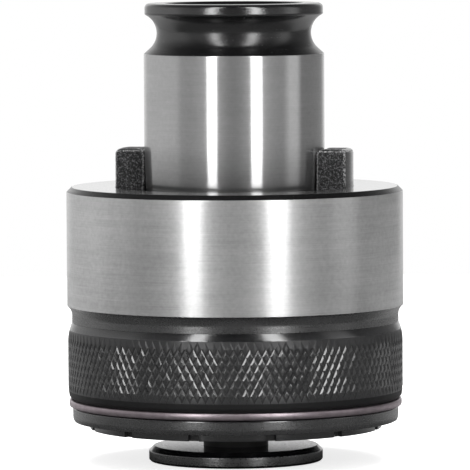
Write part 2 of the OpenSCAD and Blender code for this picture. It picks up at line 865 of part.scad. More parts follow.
// Helical wire with closed end turns
module release_spring() {
    sides = 10;
    steps_per_turn = 24;
    steps = release_turns * steps_per_turn;
    foot_z = tube_top + face_gap + release_wire_r;
    travel = release_spring_h - 2 * face_gap - release_wire_d;
    end_pitch = release_wire_d + face_gap;
    mid_pitch = (travel - 2 * end_pitch) / (release_turns - 2);
    points = [
        for (s = [0 : steps], k = [0 : sides - 1])
            let (turns = s / steps_per_turn)
                let (low = min(turns, 1), high = max(turns - release_turns + 1, 0))
                    let (mid = turns - low - high)
                        let (z = foot_z + (low + high) * end_pitch + mid * mid_pitch)
                            let (r = release_coil_r + release_wire_r * cos(k * full_turn / sides))
                                [
                                    r * cos(turns * full_turn),
                                    r * sin(turns * full_turn),
                                    z + release_wire_r * sin(k * full_turn / sides)
                                ]
    ];
    walls = [
        for (s = [0 : steps - 1], k = [0 : sides - 1], side = [0, 1])
            let (n = (k + 1) % sides)
                let (a = s * sides + k, b = s * sides + n, c = a + sides, d = b + sides)
                    side == 0 ? [a, b, c] : [b, d, c]
    ];
    ends = [
        [for (k = [0 : sides - 1]) sides - 1 - k],
        [for (k = [0 : sides - 1]) steps * sides + k]
    ];
    color(spring_steel)
        polyhedron(points = points, faces = concat(walls, ends));
}

module collar_stop_ring() {
    color(spring_steel)
        translate([0, 0, stop_ring_z])
            open_ring(waist_r + running_fit, waist_r + running_fit + stop_ring_w, stop_ring_h, waist_r / 2);
}

drive_body();
lug_ring();
adjusting_nut();
lock_ring();
thrust_washer();
disc_spring_1();
disc_spring_2();
disc_spring_3();
disc_spring_4();
pressure_ring();
clutch_balls();
tap_spindle();
thrust_cage();
thrust_balls();
thrust_race();
guide_bush();
spindle_washer();
spindle_circlip();
release_collar();
lock_ball_1();
lock_ball_2();
lock_ball_3();
release_spring();
collar_stop_ring();
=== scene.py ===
"""Tapping head with an overload clutch: the visible pieces, their finishes, the studio and the camera."""

import math
import random

import bmesh
import bpy
from mathutils import Matrix, Quaternion, Vector


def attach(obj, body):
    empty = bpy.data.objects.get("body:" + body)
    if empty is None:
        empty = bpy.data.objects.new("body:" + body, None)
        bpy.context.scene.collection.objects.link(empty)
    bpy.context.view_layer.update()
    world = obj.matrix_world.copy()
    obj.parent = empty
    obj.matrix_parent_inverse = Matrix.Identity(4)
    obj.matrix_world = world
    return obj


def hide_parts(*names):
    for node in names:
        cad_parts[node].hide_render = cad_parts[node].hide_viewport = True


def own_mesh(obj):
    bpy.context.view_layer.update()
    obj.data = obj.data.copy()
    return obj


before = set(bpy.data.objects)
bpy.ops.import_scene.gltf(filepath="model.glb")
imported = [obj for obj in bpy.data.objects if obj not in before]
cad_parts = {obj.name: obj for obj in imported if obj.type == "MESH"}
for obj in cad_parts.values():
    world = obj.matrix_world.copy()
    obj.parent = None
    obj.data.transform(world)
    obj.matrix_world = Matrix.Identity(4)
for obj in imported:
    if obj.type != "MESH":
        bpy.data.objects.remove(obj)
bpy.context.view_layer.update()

MM = 0.001
SEGMENTS = 256

# Sizes in millimetres. R is a radius, W a width and Z a height above the foot. Most are the CAD's; the knurl,
# the nut's ends, lip and notches, the lugs' tops, the neck's fillet and the rim differ slightly from it.
BODY_R, NECK_R, THREAD_R, CAVITY_R = 28.0, 27.2, 24.0, 20.6
SHANK_R, RELIEF_R, TOP_BORE_R, BUSH_SEAT_R = 15.0, 14.8, 11.0, 10.2
SKIRT_Z, CEILING_Z, NECK_Z, SEAT_Z = 7.62, 38.06, 23.3, 45.8
THREAD_LOW_Z, THREAD_HIGH_Z, THREAD_PITCH, THREAD_DEPTH = 12.9, 22.9, 1.5, 0.8
FILLET_R, FILLET_Z, BODY_Z, BODY_CHAMFER = 2.05, 24.42, 26.045, 0.83
KEYWAY_R, KEYWAY_W, KEYWAY_TOP_Z, TAIL_SLOT_W, TAIL_SLOT_TOP_Z = 22.2, 5.0, 28.43, 1.8, 12.62
LAND_Z, FLARE_Z, BORE_FLOOR_Z, TOP_Z = 52.2, 67.82, 51.95, 76.25
GROOVE_R, GROOVE_Z, GROOVE_ROUND = 16.23, 71.3, 3.4
RIM_R, RIM_Z, RIM_ROUND, BORE_CHAMFER = 14.83, 74.4, 0.8, 0.6
LUG_FLOOR_Z, TONGUE_FLOOR_Z, LUG_RING_Z, LUG_TOP_Z = 42.45, 40.95, 45.45, 52.1
LUG_BORE_R, LUG_RING_R, LUG_POCKET_R, LUG_W = 15.05, 19.8, 19.85, 8.0
TONGUE_SLOT_R, TONGUE_SLOT_W, TONGUE_SLOT_Z = 14.95, 8.1, 40.87
NUT_Z, NUT_TOP_Z, NUT_BORE_R = 5.5, 23.28, 24.15
NOTCH_R, NOTCH_W, NOTCH_TOP_Z, NOTCH_ANGLE, NOTCH_COUNT = 23.4, 1.8, 6.55, 25, 12
KNURL_COUNT, KNURL_ROWS, KNURL_DEPTH = 132, 8, 0.148
KNURL_R, KNURL_FOOT_R, KNURL_Z, KNURL_TOP_Z = 27.9, 27.3, 11.95, 22.1
SHOULDER_Z, SHOULDER_ROUND = 20.1, 7.4
RING_R, RING_WIRE_R, RING_Z = 27.1, 0.63, 9.88
TAIL_R, TAIL_ANGLE, RING_OPEN = 24.35, 100, 12
# Corners of a knurl point's brow in half pitches, off centre as one flank is steeper
KNURL_BROW = ((-0.526, 0), (0.052, -0.578), (0.63, 0), (0.052, 0.578))
CAMERA_AZIMUTH = 11.5


def turned_on_z(x, y, angle):
    c, s = math.cos(angle), math.sin(angle)
    return x * c - y * s, x * s + y * c


def arc(centre_r, centre_z, radius, start, end, steps, zone):
    """Profile points on an arc, angles in degrees from the outward direction."""
    points = []
    for i in range(steps + 1):
        a = math.radians(start + (end - start) * i / steps)
        points.append((centre_r + radius * math.cos(a), centre_z + radius * math.sin(a), zone))
    return points


def softened(profile):
    """The closed profile with the corners that state a width rounded over it."""
    longest_share = 0.45
    out = []
    count = len(profile)
    for i, point in enumerate(profile):
        r, z, zone = point[:3]
        width = point[3] if len(point) > 3 else 0
        if not width:
            out.append((r, z, zone))
            continue
        here = Vector((r, z))
        before = Vector(profile[i - 1][:2])
        after = Vector(profile[(i + 1) % count][:2])
        a = here + (before - here).normalized() * min(width, longest_share * (before - here).length)
        b = here + (after - here).normalized() * min(width, longest_share * (after - here).length)
        edge_zone = profile[i - 1][2]
        for t in (0, 0.25, 0.5, 0.75):
            p = a * (1 - t) ** 2 + here * 2 * t * (1 - t) + b * t * t
            out.append((p.x, p.y, edge_zone))
        out.append((b.x, b.y, zone))
    return out


def spin(bm, profile, segments=SEGMENTS, shape=None):
    """Adds the closed profile turned round Z. shape may change a point's radius by its height and angle."""
    points = softened(profile)
    rings = []
    for r, z, zone in points:
        ring = []
        for k in range(segments):
            a = 2 * math.pi * k / segments
            radius = shape(r, z, a) if shape else r
            ring.append(bm.verts.new((radius * math.cos(a) * MM, radius * math.sin(a) * MM, z * MM)))
        rings.append(ring)
    for i, ring in enumerate(rings):
        above = rings[(i + 1) % len(rings)]
        for k in range(segments):
            n = (k + 1) % segments
            face = bm.faces.new((ring[k], ring[n], above[n], above[k]))
            face.material_index = points[i][2]
    return rings


def slot(inner, outer, width, low, high, angle, zone=0):
    """A box mesh for cutting along a radius, in millimetres. zone is the finish of the walls it leaves."""
    mesh = bpy.data.meshes.new("cutter")
    bm = bmesh.new()
    bmesh.ops.create_cube(bm, size=1)
    for v in bm.verts:
        along = inner + (v.co.x + 0.5) * (outer - inner)
        z = low + (v.co.z + 0.5) * (high - low)
        x, y = turned_on_z(along, v.co.y * width, math.radians(angle))
        v.co = (x * MM, y * MM, z * MM)
    for f in bm.faces:
        f.material_index = zone
    bm.to_mesh(mesh)
    bm.free()
    return mesh


def rod(radius, start, end, z, angle):
    """A round bar mesh for cutting, along a radius at that height, in millimetres."""
    mesh = bpy.data.meshes.new("cutter")
    bm = bmesh.new()
    bmesh.ops.create_cone(
        bm, cap_ends=True, segments=40, radius1=radius * MM, radius2=radius * MM, depth=(end - start) * MM
    )
    place = (
        Matrix.Rotation(math.radians(angle), 4, "Z")
        @ Matrix.Translation(((start + end) / 2 * MM, 0, z * MM))
        @ Matrix.Rotation(math.pi / 2, 4, "Y")
    )
    bmesh.ops.transform(bm, matrix=place, verts=bm.verts)
    bm.to_mesh(mesh)
    bm.free()
    return mesh


def cut_away(obj, cutters):
    """Takes the cutters, which are used up, out of the object's mesh."""
    uncut = obj.data
    tool_bm = bmesh.new()
    for c in cutters:
        tool_bm.from_mesh(c)
        bpy.data.meshes.remove(c)
    tool_mesh = bpy.data.meshes.new("tools")
    tool_bm.to_mesh(tool_mesh)
    tool_bm.free()
    tool = bpy.data.objects.new("tools", tool_mesh)
    bpy.context.scene.collection.objects.link(tool)
    cut = obj.modifiers.new("cut", "BOOLEAN")
    cut.operation = "DIFFERENCE"
    cut.solver = "EXACT"
    cut.object = tool
    bpy.context.view_layer.update()
    result = bpy.data.meshes.new_from_object(obj.evaluated_get(bpy.context.evaluated_depsgraph_get()))
    obj.modifiers.clear()
    obj.data = result
    result.name = obj.name
    bpy.data.objects.remove(tool)
    bpy.data.meshes.remove(tool_mesh)
    bpy.data.meshes.remove(uncut)


def finish_mesh(bm, name, materials, cutters=(), sharp=33):
    """Makes the object, cuts it, and gives it smooth shading with edges over the sharp angle kept."""
    bmesh.ops.recalc_face_normals(bm, faces=bm.faces)
    mesh = bpy.data.meshes.new(name)
    bm.to_mesh(mesh)
    bm.free()
    for m in materials:
        mesh.materials.append(m)
    obj = bpy.data.objects.new(name, mesh)
    bpy.context.scene.collection.objects.link(obj)
    if cutters:
        cut_away(obj, cutters)
    obj.data.shade_smooth()
    obj.data.set_sharp_from_angle(angle=math.radians(sharp))
    even = obj.modifiers.new("even shading", "WEIGHTED_NORMAL")
    even.keep_sharp = True
    even.weight = 80
    return obj


class Nodes:
    """A node tree written in a few words."""

    def __init__(self, tree):
        self.tree = tree
        tree.nodes.clear()

    def add(self, kind, settings=None, **inputs):
        node = self.tree.nodes.new(kind)
        for key, value in (settings or {}).items():
            setattr(node, key, value)
        for key, value in inputs.items():
            self.put(node, key, value)
        return node

    def put(self, node, key, value):
        """Sets or links an input by its name, or by its number as i0, i1 and so on."""
        if key.startswith("i") and key[1:].isdigit():
            socket = node.inputs[int(key[1:])]
        else:
            socket = node.inputs[key.replace("_", " ")]
        if isinstance(value, bpy.types.NodeSocket):
            self.tree.links.new(value, socket)
        else:
            socket.default_value = value

    def math(self, operation, a, b=0.0):
        return self.add("ShaderNodeMath", {"operation": operation}, i0=a, i1=b).outputs[0]

    def blend(self, a, b, share):
        """That share of a, and the rest of b."""
        return self.math("ADD", self.math("MULTIPLY", a, share), self.math("MULTIPLY", b, 1 - share))

    def ramp(self, value, low, high, start=0.3, end=0.7):
        return self.add(
            "ShaderNodeMapRange", Value=value, From_Min=start, From_Max=end, To_Min=low, To_Max=high
        ).outputs[0]


class Graph(Nodes):
    """A node material with one shader."""

    def __init__(self, name):
        self.material = bpy.data.materials.new(name)
        self.material.use_nodes = True
        super().__init__(self.material.node_tree)
        self.shader = self.add("ShaderNodeBsdfPrincipled")
        self.output = self.add("ShaderNodeOutputMaterial", Surface=self.shader.outputs["BSDF"])

    def place(self):
        return self.add("ShaderNodeTexCoord").outputs["Object"]

    def turning(self, across, round_about):
        """A vector that runs across the turning lines on faces and on round surfaces alike."""
        x, y, z = self.add("ShaderNodeSeparateXYZ", Vector=self.place()).outputs
        radius = self.math("SQRT", self.math("ADD", self.math("MULTIPLY", x, x), self.math("MULTIPLY", y, y)))
        angle = self.math("ARCTAN2", y, x)
        return self.add(
            "ShaderNodeCombineXYZ",
            X=self.math("MULTIPLY", radius, across),
            Y=self.math("MULTIPLY", z, across),
            Z=self.math("MULTIPLY", self.math("ABSOLUTE", angle), round_about),
        ).outputs[0]

    def noise(self, vector, scale, detail, roughness=0.55):
        return self.add(
            "ShaderNodeTexNoise", Vector=vector, Scale=scale, Detail=detail, Roughness=roughness
        ).outputs["Fac"]

    def lines(self, across, round_about, detail):
        """Noise drawn out along the turning lines."""
        return self.noise(self.turning(across, round_about), 1.0, detail)

    def tint(self, value, dark, light, start=0.3, end=0.7):
        share = self.ramp(value, 0.0, 1.0, start, end)
        return self.add(
            "ShaderNodeMix", {"data_type": "RGBA"}, i0=share, i6=(*dark, 1), i7=(*light, 1)
        ).outputs[2]

    def grey(self, level):
        return self.add("ShaderNodeCombineColor", Red=level, Green=level, Blue=level).outputs[0]

    def bump(self, height, strength, distance):
        return self.add("ShaderNodeBump", Strength=strength, Distance=distance, Height=height).outputs[0]

    def haze(self, share, **inputs):
        """Mixes a second, softer shine into the surface."""
        soft = self.add("ShaderNodeBsdfPrincipled", **inputs)
        both = self.add("ShaderNodeMixShader", i0=share, i1=self.shader.outputs[0], i2=soft.outputs[0])
        self.put(self.output, "Surface", both.outputs[0])

    def surface(self, **inputs):
        for key, value in inputs.items():
            self.put(self.shader, key, value)
        return self.material


def ground_steel(name, dark, light, smooth, rough, lines, haze, foot=1.0):
    """Bright steel with fine lines from turning and grinding. foot paints shade on it: its colour darkens
    towards the shank's seat.
    """
    painted_shade_up_to = 53
    g = Graph(name)
    fine = g.lines(across=9000.0, round_about=3.0, detail=2.0)
    broad = g.lines(across=900.0, round_about=1.0, detail=3.0)
    cloud = g.noise(g.place(), scale=90.0, detail=4.0)
    speck = g.noise(g.place(), scale=1500.0, detail=2.0)
    streaks = g.blend(fine, broad, 0.6)
    mottle = g.blend(cloud, speck, 0.5)
    colour = g.tint(g.blend(streaks, mottle, 0.5), (dark, dark, dark), (light, light, light))
    # Painted shade: under 53 mm the colour is multiplied darker, down to foot times its level at the seat.
    if foot < 1:
        height = g.add("ShaderNodeSeparateXYZ", Vector=g.place()).outputs["Z"]
        dull = g.grey(g.ramp(height, foot, 1.0, SEAT_Z * MM, painted_shade_up_to * MM))
        colour = g.add(
            "ShaderNodeMix", {"data_type": "RGBA", "blend_type": "MULTIPLY"}, i0=1.0, i6=colour, i7=dull
        ).outputs[2]
    normal = g.bump(fine, lines, distance=0.00002)
    g.haze(haze, Base_Color=colour, Metallic=1.0, Roughness=0.45, Normal=normal)
    return g.surface(
        Base_Color=colour,
        Metallic=1.0,
        Roughness=g.ramp(streaks, smooth, rough),
        Anisotropic=0.4,
        Anisotropic_Rotation=0.25,
        Tangent=g.add("ShaderNodeTangent", {"direction_type": "RADIAL", "axis": "Z"}).outputs[0],
        Normal=normal,
    )


def black_steel(name, dark, light, smooth, rough, ior, grain_scale=2600.0, grain_depth=0.00001):
    """Black oxide over turned steel."""
    g = Graph(name)
    lines = g.lines(across=3500.0, round_about=2.0, detail=3.0)
    grain = g.noise(g.place(), grain_scale, detail=5.0, roughness=0.65)
    mixed = g.blend(lines, grain, 0.4)
    return g.surface(
        Base_Color=g.tint(mixed, dark, light),
        IOR=ior,
        Roughness=g.ramp(mixed, smooth, rough),
        Normal=g.bump(mixed, strength=0.5, distance=grain_depth),
    )


def sawn_black(name, dark, light, bare):
    """Black steel left coarse, with bright grains, which are more where bare is lower."""
    g = Graph(name)
    grain = g.noise(g.place(), scale=3000.0, detail=4.0, roughness=0.6)
    spark = g.noise(g.place(), scale=4600.0, detail=2.0)
    return g.surface(
        Base_Color=g.tint(spark, dark, light, bare, bare + 0.21),
        IOR=1.5,
        Roughness=g.ramp(grain, 0.3, 0.55),
        Normal=g.bump(grain, strength=0.9, distance=0.0006),
    )


def plain_metal(name, dark, light, smooth, rough, scale):
    """A drawn or hardened metal with a light mottle."""
    g = Graph(name)
    mottle = g.noise(g.place(), scale, detail=4.0)
    scratch = g.lines(across=5000.0, round_about=4.0, detail=2.0)
    return g.surface(
        Base_Color=g.tint(mottle, dark, light),
        Metallic=1.0,
        Roughness=g.ramp(scratch, smooth, rough),
        Normal=g.bump(scratch, strength=0.15, distance=0.00001),
    )


GROUND = ground_steel(
    "ground steel", dark=0.55, light=0.93, smooth=0.19, rough=0.27, lines=0.2, haze=0.55
)
# The shank's steel, its colour darkened towards the seat as painted shade.
POLISHED = ground_steel(
    "polished steel", dark=0.53, light=0.715, smooth=0.1, rough=0.15, lines=0.07, haze=0.38, foot=0.45
)
SEAT_STEEL = ground_steel(
    "polished seat", dark=0.57, light=0.675, smooth=0.1, rough=0.15, lines=0.07, haze=0.15
)
OXIDE = black_steel(
    "black oxide", (0.003, 0.003, 0.0035), (0.008, 0.008, 0.009), smooth=0.11, rough=0.2, ior=2.12
)
DEEP_OXIDE = black_steel(
    "deep black oxide", (0.002, 0.002, 0.0022), (0.005, 0.005, 0.0053), smooth=0.19, rough=0.29, ior=1.92
)
KNURLED = black_steel(
    "black knurl", (0.005, 0.005, 0.0055), (0.014, 0.014, 0.015), smooth=0.16, rough=0.27, ior=2.2,
    grain_scale=3200.0, grain_depth=0.000012,
)
WORN_OXIDE = black_steel(
    "black knurl tops", (0.008, 0.008, 0.0085), (0.02, 0.02, 0.021), smooth=0.3, rough=0.45, ior=1.65,
    grain_scale=3200.0, grain_depth=0.00002,
)
MATT_OXIDE = black_steel(
    "matt black oxide", (0.005, 0.005, 0.0052), (0.009, 0.009, 0.0095), smooth=0.45, rough=0.6, ior=1.36
)
GRAINY_OXIDE = black_steel(
    "grainy black oxide", (0.003, 0.003, 0.0035), (0.009, 0.009, 0.0095), smooth=0.1, rough=0.2, ior=2.2,
    grain_scale=3000.0, grain_depth=0.00006,
)
DULL_OXIDE = black_steel(
    "dull black oxide", (0.02, 0.02, 0.0202), (0.034, 0.034, 0.0345), smooth=0.45, rough=0.6, ior=1.36
)
SATIN_OXIDE = black_steel(
    "satin black oxide", (0.008, 0.008, 0.0085), (0.018, 0.018, 0.019), smooth=0.22, rough=0.34, ior=2.2
)
BRUSHED_OXIDE = black_steel(
    "brushed black oxide", (0.006, 0.006, 0.0063), (0.015, 0.015, 0.0155), smooth=0.23, rough=0.34, ior=2.65,
    grain_scale=3000.0, grain_depth=0.00003,
)
SAWN_OXIDE = sawn_black("sawn black oxide", (0.013, 0.013, 0.0135), (0.2, 0.2, 0.205), bare=0.49)
# Painted highlight: light grains on the lugs' corners and round their top edge, standing for light caught
# there.
PAINTED_EDGE_HIGHLIGHT = sawn_black("bare broken edge", (0.03, 0.03, 0.0305), (0.6, 0.6, 0.605), bare=0.42)
WIRE = plain_metal(
    "tempered wire", (0.4, 0.335, 0.365), (0.52, 0.455, 0.485), smooth=0.31, rough=0.42, scale=700.0
)
SPRING = plain_metal(
    "spring steel", (0.16, 0.14, 0.17), (0.26, 0.23, 0.27), smooth=0.26, rough=0.4, scale=500.0
)
BEARING = plain_metal(
    "bearing steel", (0.5, 0.5, 0.52), (0.62, 0.62, 0.64), smooth=0.16, rough=0.28, scale=400.0
)
BRONZE = plain_metal(
    "bearing bronze", (0.45, 0.27, 0.1), (0.6, 0.4, 0.17), smooth=0.28, rough=0.42, scale=600.0
)


def settle(obj, body, finish, *nodes):
    """The piece moves with its body and stands for its CAD nodes."""
    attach(obj, body)
    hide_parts(*nodes)


def thread(r, z, angle):
    """Radius of the skirt with its thread cut into it, which runs out at both ends."""
    touch, run_in, run_out = 0.001, 0.8, 0.5
    steepness, flat = 2.4, 0.1
    if abs(r - THREAD_R) > touch or not THREAD_LOW_Z < z < THREAD_HIGH_Z:
        return r
    turn = (z / THREAD_PITCH - angle / (2 * math.pi)) % 1
    fade = min(1, (z - THREAD_LOW_Z) / run_in, (THREAD_HIGH_Z - z) / run_out)
    return r - THREAD_DEPTH * fade * min(1, max(0, steepness * abs(turn - 0.5) - flat))


def make_drive_body():
    bright, black, polished, seat, satin, rim = range(6)
    rows, first_row_z, row_rise = 83, 12.75, THREAD_PITCH / 12
    neck_edge_r = NECK_R + 0.02
    fillet_centre_r = NECK_R + FILLET_R
    fillet_end = math.degrees(math.acos((BODY_R - fillet_centre_r) / FILLET_R))
    profile = [(CAVITY_R, SKIRT_Z, black, 0.2), (THREAD_R, SKIRT_Z, black, 0.3)]
    profile += [(THREAD_R, first_row_z + row_rise * i, black) for i in range(rows)]
    profile += [(THREAD_R, NECK_Z, black), (neck_edge_r, NECK_Z, satin, 0.03)]
    profile += arc(fillet_centre_r, FILLET_Z, FILLET_R, 180, fillet_end, 10, satin)[:-1]
    profile += [
        (BODY_R, BODY_Z, bright, 0.05), (BODY_R, SEAT_Z - BODY_CHAMFER, black, 0.07),
        (BODY_R - BODY_CHAMFER, SEAT_Z, seat, 0.07), (LUG_POCKET_R, SEAT_Z, black, 0.12),
        (LUG_POCKET_R, LUG_FLOOR_Z, black), (RELIEF_R, LUG_FLOOR_Z, polished), (RELIEF_R, SEAT_Z, polished),
        (SHANK_R, LAND_Z, polished), (SHANK_R, FLARE_Z, black, 0.08),
    ]
    profile += arc(GROOVE_R, GROOVE_Z, GROOVE_ROUND, 225, 120.5, 22, black)
    profile += [(RIM_R, RIM_Z, rim, 0.3)]
    profile += arc(RIM_R - RIM_ROUND, TOP_Z - RIM_ROUND, RIM_ROUND, 0, 90, 8, rim)
    profile += [
        (TOP_BORE_R + BORE_CHAMFER, TOP_Z, black, 0.1), (TOP_BORE_R, TOP_Z - BORE_CHAMFER, black, 0.1),
        (TOP_BORE_R, BORE_FLOOR_Z, black), (BUSH_SEAT_R, BORE_FLOOR_Z, black),
        (BUSH_SEAT_R, CEILING_Z, black), (CAVITY_R, CEILING_Z, black),
    ]
    bm = bmesh.new()
    spin(bm, profile, shape=thread)
    below_skirt, inside_cavity, inside_skirt, outside_skirt, above_floor = 6, 18, 23, 26, 43
    cutters = []
    for angle in (0, 120, 240):
        cutters += [slot(inside_cavity, KEYWAY_R, KEYWAY_W, below_skirt, KEYWAY_TOP_Z, angle)]
    for angle in range(15, 360, 30):
        cutters += [slot(inside_skirt, outside_skirt, TAIL_SLOT_W, below_skirt, TAIL_SLOT_TOP_Z, angle)]
    for angle in (0, 180):
        cutters += [slot(TONGUE_SLOT_R, LUG_RING_R, TONGUE_SLOT_W, TONGUE_SLOT_Z, above_floor, angle)]
    finishes = [GROUND, DEEP_OXIDE, POLISHED, SEAT_STEEL, SATIN_OXIDE, GRAINY_OXIDE]
    obj = finish_mesh(bm, "ground_body", finishes, cutters)
    settle(obj, "drive_body", "ground_steel", "drive_body")


def lug_plan(inset):
    """Outline of a lug from above, drawn in by the inset: an arched block with broken corners."""
    steps, broken = 10, 0.3
    half = LUG_W / 2 - inset
    points = []
    for radius, side in ((LUG_RING_R - inset, 1), (LUG_BORE_R + inset, -1)):
        reach = math.asin((half - broken) / radius)
        curve = [side * reach * (2 * i / steps - 1) for i in range(steps + 1)]
        flat_x = radius * math.cos(reach) - side * broken
        points += [(flat_x, -side * half)]
        points += [(radius * math.cos(a), radius * math.sin(a)) for a in curve]
        points += [(flat_x, side * half)]
    return points


def add_lug(bm, angle, smooth, sawn, bare):
    """One lug, rounded over at the top. Its outer face is smooth; its corners and a band round its top edge
    carry the painted edge highlight.
    """
    rounding, steps = 0.9, 6
    levels = [(TONGUE_FLOOR_Z, 0)]
    for i in range(steps + 1):
        a = math.pi / 2 * i / steps
        levels.append((LUG_TOP_Z - rounding * (1 - math.sin(a)), rounding * (1 - math.cos(a))))
    rings = []
    for z, inset in levels:
        plan = [turned_on_z(x, y, math.radians(angle)) for x, y in lug_plan(inset)]
        rings.append([bm.verts.new((x * MM, y * MM, z * MM)) for x, y in plan])
    count = len(rings[0])
    half = count // 2
    corners = (0, half - 2, half, count - 2)
    for level, (lower, upper) in enumerate(zip(rings, rings[1:])):
        for i in range(count):
            n = (i + 1) % count
            face = bm.faces.new((lower[i], lower[n], upper[n], upper[i]))
            face.material_index = smooth if 0 < i < half - 2 else sawn
            # The corners and the middle of the top rounding get the painted edge highlight.
            if i in corners or level == steps // 2:
                face.material_index = bare
    bm.faces.new(rings[-1]).material_index = sawn
    bm.faces.new(rings[0][::-1])


def make_lug_ring():
    # bare is the zone of the painted edge highlight on the lugs' corners and top edge.
    smooth, sawn, bare = range(3)
    bm = bmesh.new()
    spin(bm, [
        (LUG_BORE_R, LUG_FLOOR_Z, smooth), (LUG_RING_R, LUG_FLOOR_Z, smooth, 0.1),
        (LUG_RING_R, LUG_RING_Z, smooth, 0.12), (LUG_BORE_R, LUG_RING_Z, smooth, 0.1),
    ])
    for angle in (0, 180):
        add_lug(bm, angle, smooth, sawn, bare)
    obj = finish_mesh(bm, "lug_ring_black", [OXIDE, SAWN_OXIDE, PAINTED_EDGE_HIGHLIGHT])
    settle(obj, "drive_body", "black_steel", "lug_ring")


def crest(z):
    """Radius over the knurl, and over the rounding that leads it into the shoulder."""
    above = max(0, z - SHOULDER_Z)
    return KNURL_R - SHOULDER_ROUND + math.sqrt(SHOULDER_ROUND**2 - above**2)


def add_knurl(bm, foot, shoulder, pressed, worn, under):
    """Diamond knurl between the foot's ring of vertices and the shoulder's, slightly uneven as rolled."""
    valley_spread, brow_depth, top_depth = (0.8, 1.2), (0.012, 0.026), (0, 0.006)
    top_share, sideways, foot_depth, run_out = 0.74, 0.04, 0.06, 1.6
    uneven = random.Random(5)
    steps = len(foot)
    rise = (KNURL_TOP_Z - KNURL_Z) / KNURL_ROWS

    def point(i, j, depth):
        a = 2 * math.pi * i / steps
        z = KNURL_Z + j * rise
        r = crest(z) - depth * min(1, (KNURL_TOP_Z - z) / run_out)
        return bm.verts.new((r * math.cos(a) * MM, r * math.sin(a) * MM, z * MM))

    corner = {}
    for j in range(KNURL_ROWS):
        for i in range(steps):
            if (i + j) % 2:
                corner[i, j] = point(i, j, KNURL_DEPTH * uneven.uniform(*valley_spread))
            elif j == 0:
                corner[i, j] = point(i, j, foot_depth)
    for i in range(steps):
        corner[i, KNURL_ROWS] = shoulder[i]
    for j in range(KNURL_ROWS):
        for i in range(steps):
            if (i + j) % 2:
                continue
            left, right = corner[(i - 1) % steps, j], corner[(i + 1) % steps, j]
            up = corner[i, j + 1]
            if j == 0:
                tip = corner[i, 0]
                faces = [(left, tip, up), (tip, right, up)]
            else:
                around = (left, corner[i, j - 1], right, up)
                mid = i + uneven.uniform(-sideways, sideways)
                brow = [point(mid + x, j + y, uneven.uniform(*brow_depth)) for x, y in KNURL_BROW]
                inner = [(top_share * x, top_share * y) for x, y in KNURL_BROW]
                top = [point(mid + x, j + y, uneven.uniform(*top_depth)) for x, y in inner]
                bm.faces.new(top).material_index = worn
                faces = [(brow[k - 1], around[k - 1], around[k], brow[k]) for k in range(4)]
                faces += [(top[k - 1], brow[k - 1], brow[k], top[k]) for k in range(4)]
            for f in faces:
                bm.faces.new(f).material_index = worn if j in (0, KNURL_ROWS - 1) else pressed
    for i in range(steps):
        n = (i + 1) % steps
        bm.faces.new((foot[i], foot[n], corner[n, 0], corner[i, 0])).material_index = under
        if (i + KNURL_ROWS) % 2 == 0:
            last, down = corner[i, KNURL_ROWS], corner[i, KNURL_ROWS - 1]
            bm.faces.new((corner[(i - 1) % steps, KNURL_ROWS], down, last)).material_index = worn
            bm.faces.new((down, corner[n, KNURL_ROWS], last)).material_index = worn


def make_adjusting_nut():
    plain, pressed, satin, matt, worn, dull = range(6)
    groove_r, groove_z, groove_top_z = 26.45, 9.2, 10.55
    lip_r, lip_bend_z, lip_foot_r, lip_z = 27.15, 7.45, 26.95, 6.8
    spigot_r, web_hole_r, web_r, web_top_z, relief_z = 24.3, 15.5, 20.4, 9.2, 7.3
    under_r, under_z, tail_hole_r, inside_bore = 27.72, 11.1, 0.6, 23.6
    below_nut, outside_spigot = 5, 26
    profile = [
        (under_r, under_z, matt), (KNURL_FOOT_R, groove_top_z, matt), (groove_r, groove_top_z, matt),
        (groove_r, groove_z, plain), (lip_r, groove_z, satin, 0.32), (lip_r, lip_bend_z, satin, 0.25),
        (lip_foot_r, lip_z, matt, 0.15), (spigot_r, lip_z, plain), (spigot_r, NUT_Z, plain, 0.15),
        (web_hole_r, NUT_Z, plain, 0.2), (web_hole_r, web_top_z, plain, 0.1), (web_r, web_top_z, plain),
        (web_r, relief_z, plain), (NUT_BORE_R, relief_z, plain), (NUT_BORE_R, NUT_TOP_Z, plain, 0.2),
    ]
    start = math.degrees(math.asin((NUT_TOP_Z - SHOULDER_Z) / SHOULDER_ROUND))
    end = math.degrees(math.asin((KNURL_TOP_Z - SHOULDER_Z) / SHOULDER_ROUND))
    profile += arc(KNURL_R - SHOULDER_ROUND, SHOULDER_Z, SHOULDER_ROUND, start, end, 8, plain)
    bm = bmesh.new()
    rings = spin(bm, profile, 2 * KNURL_COUNT)
    shoulder, foot = rings[-1], rings[0]
    between = [f for f in bm.faces if set(f.verts) <= set(shoulder) | set(foot)]
    bmesh.ops.delete(bm, geom=between, context="FACES_ONLY")
    add_knurl(bm, foot, shoulder, pressed, worn, matt)
    cutters = []
    for k in range(NOTCH_COUNT):
        angle = NOTCH_ANGLE + 360 / NOTCH_COUNT * k
        cutters += [slot(NOTCH_R, outside_spigot, NOTCH_W, below_nut, NOTCH_TOP_Z, angle, dull)]
    cutters += [rod(tail_hole_r, inside_bore, RING_R, RING_Z, TAIL_ANGLE)]
    finishes = [OXIDE, KNURLED, SATIN_OXIDE, MATT_OXIDE, WORN_OXIDE, DULL_OXIDE]
    obj = finish_mesh(bm, "knurled_nut", finishes, cutters, sharp=18)
    settle(obj, "adjusting_nut", "black_steel", "adjusting_nut")


